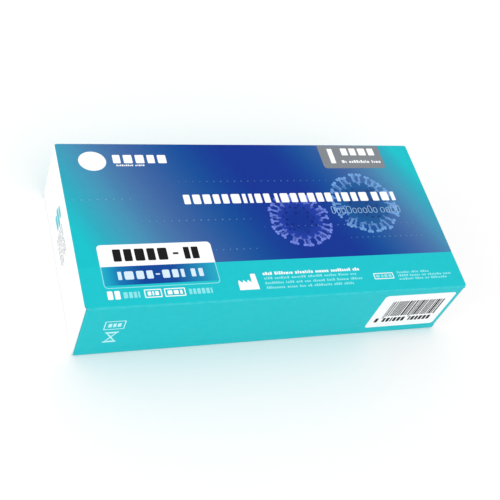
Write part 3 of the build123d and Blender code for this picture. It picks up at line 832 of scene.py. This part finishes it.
def hourglass(middle, low, high):
    """An hourglass sign between two heights: two bars, and a hollow bulb against each."""
    shapes = []
    for y in (low, high - GLASS_BAR):
        shapes.append(plate((middle - GLASS_HALF, middle + GLASS_HALF), (y, y + GLASS_BAR), radius=0.15))
    waist = (low + high) / 2
    wide = GLASS_HALF * GLASS_BULB
    side_inset, edge_inset, waist_inset = GLASS_HOLE_INSETS
    for side in (1, -1):
        edge = waist + side * (high - waist - GLASS_BAR)
        bulb = [(middle - wide, edge), (middle + wide, edge)]
        bulb += [(middle + GLASS_WAIST, waist), (middle - GLASS_WAIST, waist)]
        rim, hollow = edge - side * edge_inset, wide - side_inset
        hole = [(middle - hollow, rim), (middle + hollow, rim), (middle, waist + side * waist_inset)]
        shapes.append([bulb, hole])
    return shapes


def front_print(white):
    draw = random.Random(7)
    low, high = box_mm("front_marks")
    box_x, box_z = (low.x, high.x), (high.z - FRONT_BOX_HEIGHT, high.z)
    shapes = [frame_plate(box_x, box_z, FRONT_BOX_LINE, radius=0.35)]
    inner = (shrunk(box_x, FRONT_BOX_INSETS[0]), shrunk(box_z, FRONT_BOX_INSETS[1]))
    shapes += word(*inner, FRONT_BOX_LETTERS, draw)
    shapes += hourglass((low.x + high.x) / 2 + GLASS_SHIFT, low.z, box_z[0] - GLASS_DROP)
    film("front_marks_print", shapes, white, "white_ink", ["front_marks"], place=on_front)


# The code's bars, counted in modules, and its places as shares of the white panel
CODE_MODULES = 95
CODE_GUARDS = ((0, 3), (45, 50), (92, 95))
CODE_BARS = (2, 2, 3, 4)
CODE_GAPS = (1, 1, 1, 2)
CODE_INK = 0.94
CODE_SIDES = (0.16, 0.91)
CODE_TOP, CODE_BOTTOM, GUARD_DROP = 0.19, 0.66, 0.06
CODE_ROW = (0.84, 0.71)
CODE_FIRST_BLOCK = (0.08, 0.125)
CODE_BLOCKS = 6
CODE_BLOCK_GAP = 4
CODE_BLOCK_CORNER = 0.25


def code_bars(left, module, top, bottom, drop, draw):
    """Uneven bars that code nothing, with longer ones at the ends and in the middle."""
    shapes = []
    place = 0
    while place < CODE_MODULES:
        guard = any(start <= place < end for start, end in CODE_GUARDS)
        width = 1 if guard else draw.choice(CODE_BARS)
        width = min(width, CODE_MODULES - place)
        start = left + place * module
        end = bottom - drop if guard else bottom
        shapes.append(plate((start, start + width * module * CODE_INK), (end, top)))
        place += width + (1 if guard else draw.choice(CODE_GAPS))
    return shapes


def code_print(dark):
    """The bars on the white panel, over a row of plain blocks."""
    draw = random.Random(31)
    low, high = box_mm("code_panel")
    length, tall = high.x - low.x, high.z - low.z
    left, right = (low.x + share * length for share in CODE_SIDES)
    module = (right - left) / CODE_MODULES
    top, bottom = high.z - CODE_TOP * tall, high.z - CODE_BOTTOM * tall
    shapes = code_bars(left, module, top, bottom, GUARD_DROP * tall, draw)
    row = [high.z - share * tall for share in CODE_ROW]
    first = [low.x + share * length for share in CODE_FIRST_BLOCK]
    shapes += word(first, row, 1, draw, corner=CODE_BLOCK_CORNER)
    half = (left + right) / 2
    gap = CODE_BLOCK_GAP * module
    for span in ((left + gap, half - gap), (half + gap, right - gap)):
        shapes += word(span, row, CODE_BLOCKS, draw, corner=CODE_BLOCK_CORNER)
    film("code_print", shapes, dark, "dark_ink", ["code_bars"], level=1, place=on_front)


# The left end's marks: three bars, as shares of their place's length, and six small lines
END_BARS = (0.62, 1.0, 0.8)
END_BAR_PITCH, END_BAR_HEIGHT, END_BAR_RADIUS = 3.6, 2.9, 1.2
END_LINES = 6
END_LINE_PITCH, END_LINE_HEIGHT, END_LINE_LETTER = 2.1, 1.1, 0.85
END_LINE_SLACK = 3.0


def end_print(teal, grey):
    draw = random.Random(17)
    low, high = box_mm("end_mark")
    middle, half = -(low.y + high.y) / 2, (high.y - low.y) / 2
    shapes = []
    for i, share in enumerate(END_BARS):
        top = high.z - i * END_BAR_PITCH
        span = (middle - half * share, middle + half * share)
        shapes.append(plate(span, (top - END_BAR_HEIGHT, top), END_BAR_RADIUS))
    where = {"place": on_left_end, "body": "left_flap"}
    film("end_mark_print", shapes, teal, "teal_ink", ["end_mark"], **where)
    low, high = box_mm("end_lines")
    shapes = []
    for i in range(END_LINES):
        top = high.z - i * END_LINE_PITCH
        span = (-high.y, -low.y - draw.uniform(0.0, END_LINE_SLACK))
        shapes += small_line(span, (top - END_LINE_HEIGHT, top), END_LINE_LETTER, draw)
    film("end_lines_print", shapes, grey, "grey_ink", ["end_lines"], **where)


# A ring of spikes: its name, its count, then, as shares of the named radius, where the spikes start and
# end and how wide their heads are, and how far they lean at most, in radians
SPIKE_RINGS = (
    ("far_spikes", 15, ("core", 0.97, 1.0), ("reach", 0.88, 0.95), ("reach", 0.06, 0.075), 0.15),
    ("spikes", 26, ("core", 0.95, 0.99), ("reach", 0.92, 1.0), ("reach", 0.08, 0.1), 0.16),
    ("end_spikes", 17, ("core", 0.82, 0.88), ("core", 0.99, 1.05), ("reach", 0.05, 0.065), 0.4),
)
SPIKE_SHIFT = 0.24
# A spike: its stem's half width at the foot as a share of its head's size, what is left of that below
# the head, and the two lobes in shares of the head's size
STEM = 0.36
STEM_TAPER = 0.8
LOBE_RADIUS, LOBE_SIDE, LOBE_BACK = 0.5, 0.46, 0.55
# The lobes' arcs, in degrees: where they start, how far they go, and how much they turn outwards
LOBE_START, LOBE_TURN, LOBE_OUT = -125, 250, 38
LOBE_STEPS = 6
# The dots: how many places there are, how far out they go, how many are left out, and their sizes
DOT_PLACES = 95
GOLDEN_TURN = math.pi * (3 - math.sqrt(5))
DOT_REACH = 0.8
DOT_SKIP = 0.45
DOT_SIZES = (0.06, 0.085)
DOT_FLATTEST = 0.5


def club(base, angle, length, size):
    """A spike that widens into a head of two lobes, from its base outwards."""
    stem = size * STEM
    points = [(0, -stem), (length - size, -stem * STEM_TAPER)]
    for side in (-1, 1):
        for i in range(LOBE_STEPS + 1):
            turn = math.radians(LOBE_START + LOBE_TURN * i / LOBE_STEPS + side * LOBE_OUT)
            x = length - size * LOBE_BACK + size * LOBE_RADIUS * math.cos(turn)
            y = side * size * LOBE_SIDE + size * LOBE_RADIUS * math.sin(turn)
            points.append((x, y))
    points += [(length - size, stem * STEM_TAPER), (0, stem)]
    return placed(points, base, angle)


def spike_ring(centre, draw, count, start, length, size, lean):
    """Spikes around a figure, each a little different. start, length and size are spans."""
    spikes = []
    for i in range(count):
        angle = 2 * math.pi * (i + draw.uniform(-SPIKE_SHIFT, SPIKE_SHIFT)) / count
        inner = draw.uniform(*start)
        base = (centre[0] + inner * math.cos(angle), centre[1] + inner * math.sin(angle))
        end = draw.uniform(*length)
        spikes.append(club(base, angle + draw.uniform(-lean, lean), end - inner, draw.uniform(*size)))
    return spikes


def core_dots(centre, core, draw):
    """Dark dots spread over the core as over a ball, flatter towards its rim."""
    dots = []
    for i in range(DOT_PLACES):
        height = 1 - (i + 0.5) / DOT_PLACES
        far = math.sqrt(1 - height * height)
        if far > DOT_REACH or draw.random() < DOT_SKIP:
            continue
        angle = i * GOLDEN_TURN
        place = (centre[0] + core * far * math.cos(angle), centre[1] + core * far * math.sin(angle))
        size = core * draw.uniform(*DOT_SIZES)
        dots.append(oval(place, size * max(height, DOT_FLATTEST), size, count=10, turn=angle))
    return dots


def figure_looks(kind, centre, radii, middle, rim, amount, tip, dot):
    """A figure's materials: its core, its dots, its near spikes and its far ones."""
    core, reach = radii["core"], radii["reach"]
    low, high = SPIKE_AMOUNTS
    far_low, far_high = low * FAR_SHARES[0], high * FAR_SHARES[1]
    return {
        "core": core_look(f"{kind}_core", centre, core, printed(*middle), printed(*rim), amount),
        "dots": field_look(f"{kind}_dots", printed(*dot), FIGURE_DOT_AMOUNT),
        "near": spike_look(f"{kind}_spikes", centre, reach, printed(*tip), low, high),
        "far": spike_look(f"{kind}_far_spikes", centre, reach, printed(*tip), far_low, far_high),
    }


def spike_films(kind, spike_node, centre, radii, looks, draw):
    """The rings of spikes, each as two films, so that spikes side by side don't share a level."""
    slot = f"{kind}_spike_ink"
    for i, (ring_name, count, start, length, size, lean) in enumerate(SPIKE_RINGS):
        spans = [(radii[base] * least, radii[base] * most) for base, least, most in (start, length, size)]
        ring = spike_ring(centre, draw, count, *spans, lean)
        look = looks["far"] if ring_name == "far_spikes" else looks["near"]
        nodes = [spike_node] if ring_name == "spikes" else []
        name, level = f"{kind}_ball_{ring_name}", 1 + 2 * i
        film(name, ring[::2], look, slot, nodes, level)
        film(f"{name}_between", ring[1::2], look, slot, level=level + 1)


def figure_print(kind, seed, *colours):
    """A round core with dark dots, far and near spikes around it, and end-on ones at its rim."""
    draw = random.Random(seed)
    core_node, spike_node = f"{kind}_figure_core", f"{kind}_figure_spikes"
    low, high = box_mm(spike_node)
    core_low, core_high = box_mm(core_node)
    centre = ((low.x + high.x) / 2, (low.y + high.y) / 2)
    core = (core_high.x - core_low.x) / 2
    radii = {"core": core, "reach": (high.x - low.x) / 2}
    looks = figure_looks(kind, centre, radii, *colours)
    disc, dots = oval(centre, core, core, count=72), core_dots(centre, core, draw)
    slot = f"{kind}_core_ink"
    film(f"{kind}_ball_core", [disc], looks["core"], slot, [core_node])
    film(f"{kind}_ball_dots", dots, looks["dots"], slot, level=1)
    spike_films(kind, spike_node, centre, radii, looks, draw)


# The field's rows of dots: distance from the back edge, start, end, distance between dots, and radius
DOT_ROWS = (
    (20.3, 47, 119, 3.0, 0.3),
    (28.7, 3, 29, 3.2, 0.45),
    (39.7, 28, 78, 3.0, 0.36),
    (43.9, 78, 153, 3.0, 0.3),
    (50.6, 115, 155, 2.6, 0.34),
    (54.2, 55, 77, 2.8, 0.36),
)
ROW_END_SIZE = 0.45
ROW_UNEVEN = (0.85, 1.05)
ROW_LEVEL = 7


def dot_rows(material):
    draw = random.Random(2)
    shapes = []
    for back, start, end, pitch, radius in DOT_ROWS:
        count = int((end - start) / pitch)
        for i in range(count):
            share = math.sin(math.pi * (i + 0.5) / count) ** 0.5
            size = radius * (ROW_END_SIZE + (1 - ROW_END_SIZE) * share) * draw.uniform(*ROW_UNEVEN)
            place = (start - HALF_LENGTH + i * pitch, HALF_WIDTH - back)
            shapes.append(oval(place, size, size, count=12))
    film("dot_rows", shapes, material, "pale_blue_ink", level=ROW_LEVEL)


# The crease over a closure's fold: its turn is in degrees, and its rows lie over the band and the field
CREASE_RADIUS = 0.25
CREASE_LAP = 0.2
CREASE_TURN = 50
CREASE_STEPS = 6
CREASE_INSET = 0.8
CREASE_ROWS = (10, 30)


def crease_section():
    """The crease's cross-section in X and Z: flat on the top panel, then round the fold."""
    hinge_x, hinge_z = HALF_LENGTH - CREASE_RADIUS, HEIGHT - CREASE_RADIUS
    flat = (TOP_END - CREASE_LAP, TOP_END, (TOP_END + hinge_x) / 2)
    under = [(x, HEIGHT) for x in flat]
    over = [(x, HEIGHT + INK) for x in flat]
    for i in range(CREASE_STEPS + 1):
        angle = math.radians(90 - CREASE_TURN * i / CREASE_STEPS)
        for line, radius in ((under, CREASE_RADIUS), (over, CREASE_RADIUS + INK)):
            line.append((hinge_x + radius * math.cos(angle), hinge_z + radius * math.sin(angle)))
    return under + over[::-1]


def crease(name, side, field, teal):
    """The print over the fold between the top panel and a closing panel. It curves round the fold."""
    section = crease_section()
    reach = HALF_WIDTH - CREASE_INSET
    band, blue = CREASE_ROWS
    rows = [-reach + (FIELD_EDGE + reach) * i / band for i in range(band)]
    rows += [FIELD_EDGE + (reach - FIELD_EDGE) * i / blue for i in range(blue + 1)]
    corners = [Vector((side * x, y, z)) * MM for y in rows for x, z in section]
    count, last = len(section), (len(rows) - 1) * len(section)
    faces = []
    for first in range(0, last, count):
        faces += side_faces(first, first + count, count)
    faces += [tuple(range(count)), tuple(range(last, last + count))]
    piece = mesh_piece(name, corners, faces, field, body=None)
    piece.data.materials.append(teal)
    for face in piece.data.polygons:
        if face.center.y < FIELD_EDGE * MM:
            face.material_index = 1
    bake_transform(piece)


# The ends of the side panels' folds, beside the dust flaps
BOARD = 0.5
FOLD_RADIUS = 0.8
FOLD_ENDS = (78.5, 79.35)
UPPER_FOLD_REACH = 1.05
LOWER_FOLD_REACH = 2.77
FOLD_TURNS = 6


def fold_section(side, up, reach):
    """A fold's cross-section in Y and Z: up is 1 for a fold at the top and -1 for one at the bottom."""
    level = HEIGHT if up > 0 else 0.0
    centre = (HALF_WIDTH - FOLD_RADIUS, level - up * FOLD_RADIUS)
    arcs = []
    for radius in (FOLD_RADIUS, FOLD_RADIUS - BOARD):
        arc = []
        for i in range(FOLD_TURNS + 1):
            turn = math.pi / 2 * i / FOLD_TURNS
            arc.append((centre[0] + radius * math.sin(turn), centre[1] + up * radius * math.cos(turn)))
        arc.append((centre[0] + radius, level - up * reach))
        arcs.append(arc)
    return [(side * y, z) for y, z in arcs[0] + arcs[1][::-1]]


def corner_folds(material):
    """Runs the side panels' folds on to the carton's ends, so that its corners look closed."""
    corners, faces = [], []
    for end, side in ((-1, -1), (-1, 1), (1, -1), (1, 1)):
        for up, reach in ((1, UPPER_FOLD_REACH), (-1, LOWER_FOLD_REACH)):
            section = fold_section(side, up, reach)
            first, count = len(corners), len(section)
            for x in FOLD_ENDS:
                corners += [Vector((end * x, y, z)) * MM for y, z in section]
            faces += side_faces(first, first + count, count)
            faces += end_faces([section], first, first + count)
    mesh_piece("corner_folds", corners, faces, material)


def sheet_piece(name, node, counts, top, bottom, material):
    """A closed sheet over a CAD node's rectangle, between two surfaces that give a height for a place."""
    low, high = box_mm(node)
    nx, ny = counts
    corners = []
    for surface in (top, bottom):
        for i in range(nx + 1):
            for j in range(ny + 1):
                x = low.x + (high.x - low.x) * i / nx
                y = low.y + (high.y - low.y) * j / ny
                corners.append(Vector((x, y, surface(x, y))) * MM)
    across = ny + 1
    layer = (nx + 1) * across
    faces = []
    for i in range(nx):
        for j in range(ny):
            a = i * across + j
            faces.append((a, a + across, a + across + 1, a + 1))
            faces.append((layer + a, layer + a + 1, layer + a + across + 1, layer + a + across))
    rim = [i * across for i in range(nx)] + [nx * across + j for j in range(ny)]
    rim += [i * across + ny for i in range(nx, 0, -1)] + list(range(ny, 0, -1))
    for a, b in zip(rim, rim[1:] + rim[:1]):
        faces.append((a, b, layer + b, layer + a))
    return mesh_piece(name, corners, faces, material, [node], smooth=True)


# Wrinkles: how sharp their ridges are, how much smaller the fine ones are, and the large ones' share
RIDGE_SHARPNESS = 2.4
FINE_RIDGES = 2.3
LARGE_SHARE = 0.65


def smooth_step(value):
    """A smooth rise from 0 to 1, level outside that."""
    value = min(max(value, 0.0), 1.0)
    return value * value * (3 - 2 * value)


def flat_bottom(low):
    """A sheet's underside where it lies flat."""
    return lambda x, y: low.z


def crumple(x, y, size, seed):
    """Sharp small ridges from 0 to 1, as in pressed foil."""
    place = Vector((x / size, y / size, seed))
    large = 1 - min(abs(noise.noise(place)) * RIDGE_SHARPNESS, 1.0)
    fine = 1 - min(abs(noise.noise(place * FINE_RIDGES)) * RIDGE_SHARPNESS, 1.0)
    return LARGE_SHARE * large + (1 - LARGE_SHARE) * fine


# The foil pouch: its two foils, its bulge's flat top and slopes, its end seals and their ribs
POUCH_GRID = (220, 110)
POUCH_SHEET = 0.3
POUCH_LOWEST = 0.18
POUCH_FLAT = (34, 10)
POUCH_SLOPE = (10, 8.5)
POUCH_SEAL, POUCH_SEAL_EDGE = 5.5, 0.8
RIB_PITCH, RIB_HALF = 1.1, 0.1
# Its wrinkles: how high they are on the flat and on the slopes, the room for them, and how they start
WRINKLE_SIZE, WRINKLE_SEED = 9.0, 1.7
WRINKLE_ON_FLAT, WRINKLE_ON_SLOPE, WRINKLE_ROOM = 0.12, 0.55, 0.5
WRINKLE_RATE, WRINKLE_AT_EDGE = 8, 0.2


def foil_pouch(material):
    """The sealed foil pouch, drawn tight over the hard shape inside it, with ribbed end seals."""
    low, high = box_mm("foil_pouch")
    bulge = high.z - low.z - POUCH_SHEET

    def top(x, y):
        away_x = max(abs(x) - POUCH_FLAT[0], 0) / POUCH_SLOPE[0]
        away_y = max(abs(y) - POUCH_FLAT[1], 0) / POUCH_SLOPE[1]
        share = smooth_step(1 - math.hypot(away_x, away_y))
        slope = 1 - abs(2 * share - 1)
        seal = smooth_step((abs(x) - high.x + POUCH_SEAL) / POUCH_SEAL_EDGE)
        wrinkle = crumple(x, y, WRINKLE_SIZE, WRINKLE_SEED)
        wrinkle *= WRINKLE_ON_FLAT + WRINKLE_ON_SLOPE * slope
        wrinkle *= (1 - seal) * smooth_step(share * WRINKLE_RATE + WRINKLE_AT_EDGE)
        rib = RIB_HALF * (1 + math.cos(2 * math.pi * x / RIB_PITCH)) * seal
        rise = (bulge - WRINKLE_ROOM) * share + wrinkle + rib
        return low.z + POUCH_LOWEST + min(rise, bulge)

    sheet_piece("foil_pouch_skin", "foil_pouch", POUCH_GRID, top, flat_bottom(low), material)


# The waste bag: its film, its ripples and its flat edge
BAG_GRID = (90, 60)
BAG_SHEET = 0.14
BAG_RIPPLE_SIZE, BAG_RIPPLE_SEED, BAG_RIPPLE = 22.0, 4.2, 0.4
BAG_EDGE = 6


def waste_bag(material):
    """The empty film bag, lying flat with soft ripples and a flat edge."""
    low, high = box_mm("waste_bag")

    def top(x, y):
        edge = min(high.x - abs(x), high.y - abs(y))
        ripple = crumple(x, y, BAG_RIPPLE_SIZE, BAG_RIPPLE_SEED)
        return low.z + BAG_SHEET + BAG_RIPPLE * ripple * smooth_step(edge / BAG_EDGE)

    sheet_piece("waste_bag_film", "waste_bag", BAG_GRID, top, flat_bottom(low), material)


# The swab pack's clear sheet: its film, its end seals, its two sides inside the bulge, and its creases
PACK_GRID = (200, 72)
PACK_SHEET = 0.15
PACK_END = 2.5
PACK_OUTSIDE, PACK_INSIDE = 0.12, 0.3
PACK_CREASE_SIZE, PACK_CREASE_SEED, PACK_CREASE = 5.0, 8.1, 0.1


def swab_pack(material):
    """The clear top sheet of the swab's pack, with its long bulge, fine creases and flat seals."""
    low, high = box_mm("swab_pack_film")
    middle = (low.y + high.y) / 2
    radius = high.z - low.z
    run = high.x - PACK_END - radius

    def height(x, y, inset):
        """How high the long, round-ended bulge is, less an inset all round."""
        reach = radius - inset
        across = math.hypot(max(abs(x) - run, 0), y - middle)
        return math.sqrt(max(reach * reach - across * across, 0.0))

    def top(x, y):
        rise = height(x, y, PACK_OUTSIDE)
        fold = crumple(x, y, PACK_CREASE_SIZE, PACK_CREASE_SEED) * PACK_CREASE
        return low.z + max(rise + fold * smooth_step(rise), PACK_SHEET)

    def bottom(x, y):
        return low.z + height(x, y, PACK_INSIDE)

    sheet_piece("swab_pack_clear", "swab_pack_film", PACK_GRID, top, bottom, material)


# The swab's head: its mesh, its round ends' length as a share of its radius, their least thickness
# squared, and its flock
HEAD_RINGS, HEAD_TURNS = 64, 40
HEAD_END = 0.8
HEAD_TIP = 0.02
FLOCK_ALONG, FLOCK_AROUND = 2.5, 4
FLOCK_THICK, FLOCK_ROUGH = 0.93, 0.08


def swab_head(material):
    """The swab's flocked head: a round-ended bud with a rough, fibrous outline."""
    low, high = box_mm("swab_tip")
    radius = (high.z - low.z) / 2
    centre_y, centre_z = (low.y + high.y) / 2, (low.z + high.z) / 2
    corners = []
    for i in range(HEAD_RINGS + 1):
        x = low.x + (high.x - low.x) * i / HEAD_RINGS
        end = min(min(x - low.x, high.x - x) / (radius * HEAD_END), 1.0)
        thick = radius * math.sqrt(max(1 - (1 - end) ** 2, HEAD_TIP))
        for j in range(HEAD_TURNS):
            angle = 2 * math.pi * j / HEAD_TURNS
            y, z = math.cos(angle), math.sin(angle)
            place = Vector((x * FLOCK_ALONG, y * FLOCK_AROUND, z * FLOCK_AROUND))
            out = thick * (noise.noise(place) * FLOCK_ROUGH + FLOCK_THICK)
            corners.append(Vector((x, centre_y + out * y, centre_z + out * z)) * MM)
    last = HEAD_RINGS * HEAD_TURNS
    faces = []
    for first in range(0, last, HEAD_TURNS):
        faces += side_faces(first, first + HEAD_TURNS, HEAD_TURNS)
    faces += [tuple(range(HEAD_TURNS)), tuple(range(last, last + HEAD_TURNS))]
    mesh_piece("swab_head", corners, faces, material, ["swab_tip"], smooth=True)


def dress(node, material):
    """Gives a CAD node its only material."""
    NODES[node].data.materials.clear()
    NODES[node].data.materials.append(material)


def make_camera():
    data = bpy.data.cameras.new("camera")
    data.sensor_width = SENSOR
    data.lens = SENSOR * FOCAL_PIXELS / IMAGE_SIDE
    data.clip_start, data.clip_end = CLIP_METRES
    camera = bpy.data.objects.new("camera", data)
    bpy.context.scene.collection.objects.link(camera)
    forward = CAMERA_FORWARD.normalized()
    right = (CAMERA_RIGHT - forward * CAMERA_RIGHT.dot(forward)).normalized()
    up = right.cross(forward)
    turn = Matrix((right, up, -forward)).transposed()
    camera.matrix_world = Matrix.Translation(CAMERA_PLACE) @ turn.to_4x4()
    bpy.context.scene.camera = camera


def area_light(name, place, size, power):
    """A square light that faces the carton."""
    data = bpy.data.lights.new(name, "AREA")
    data.shape = "SQUARE"
    data.size = size
    data.energy = power
    light = bpy.data.objects.new(name, data)
    bpy.context.scene.collection.objects.link(light)
    light.location = place
    light.rotation_mode = "QUATERNION"
    light.rotation_quaternion = (-Vector(place)).to_track_quat("-Z", "Y")


def make_stage():
    """A white surround, a pale floor and two soft lights."""
    scene = bpy.context.scene
    world = bpy.data.worlds.new("studio")
    scene.world = world
    world.use_nodes = True
    sky = world.node_tree.nodes["Background"]
    sky.inputs["Color"].default_value = (1.0, 1.0, 1.0, 1.0)
    sky.inputs["Strength"].default_value = SKY_STRENGTH
    scene.view_settings.view_transform = "Standard"
    scene.view_settings.look = "None"
    bpy.ops.mesh.primitive_plane_add(size=FLOOR_SIDE)
    floor = bpy.context.object
    floor.name = "floor"
    look = Look("floor", roughness=0.8, specular=0.05)
    look.set("Base Color", FLOOR_WHITE)
    floor.data.materials.append(look.material)
    area_light("key", *KEY_LIGHT)
    area_light("fill", *FILL_LIGHT)


def dress_carton(white, field, teal):
    """Materials for the board and the plain printed areas."""
    board = board_look()
    for node in ("carton_body", "left_tuck_flap", "right_tuck_flap"):
        dress(node, board)
    dress("teal_print", teal)
    dress("blue_print", field)
    dress("label_panel", white)
    dress("code_panel", white)
    dress("corner_tab", ink_look("tab_grey", TAB_GREY))
    dress("label_strip", strip_look())
    dress("label_frame", ink_look("frame_line", FRAME_LINE))


def make_contents():
    paper, foil = paper_look(), foil_look()
    dress("leaflet", paper)
    dress("swab_pack_back", paper)
    dress("tube_seal", foil)
    dress("swab_shaft", plastic_look("white_plastic", SHAFT_WHITE, 0.35))
    dress("dropper_cap", plastic_look("cap_plastic", CAP_WHITE, 0.32, clear=0.08))
    dress("extraction_tube", plastic_look("clear_plastic", TUBE_CLEAR, 0.15, clear=0.3, cover=0.5))
    dress("tube_liquid", plastic_look("liquid", LIQUID_CLEAR, 0.02, clear=0.9))
    foil_pouch(foil)
    waste_bag(plastic_look("bag_film", BAG_CLEAR, 0.3, cover=0.7))
    swab_pack(plastic_look("clear_film", FILM_CLEAR, 0.1, cover=0.3))
    swab_head(fibre_look())


def make_print(white):
    dark = ink_look("dark_ink", DARK_INK)
    corner_print(white)
    title_print(white, ink_look("pale_ink", PALE_INK))
    tab_print(white)
    label_print(dark, ink_look("strip_white", STRIP_WHITE))
    band_print(white, ink_look("thin_ink", THIN_INK))
    front_print(ink_look("front_ink", FRONT_INK))
    code_print(dark)
    end_print(ink_look("end_teal", END_TEAL), ink_look("end_grey", END_GREY))
    dot_rows(field_look("field_dots", DOT_INK, ROW_DOT_AMOUNT))
    for figure in FIGURES:
        figure_print(*figure)


make_camera()
make_stage()
white_ink = ink_look("white_ink", WHITE_INK)
field_ink = field_look("blue_field")
teal_ink = teal_look()
dress_carton(white_ink, field_ink, teal_ink)
make_contents()
make_print(white_ink)
corner_folds(teal_ink)
crease("left_crease", -1, field_ink, teal_ink)
crease("right_crease", 1, field_ink, teal_ink)
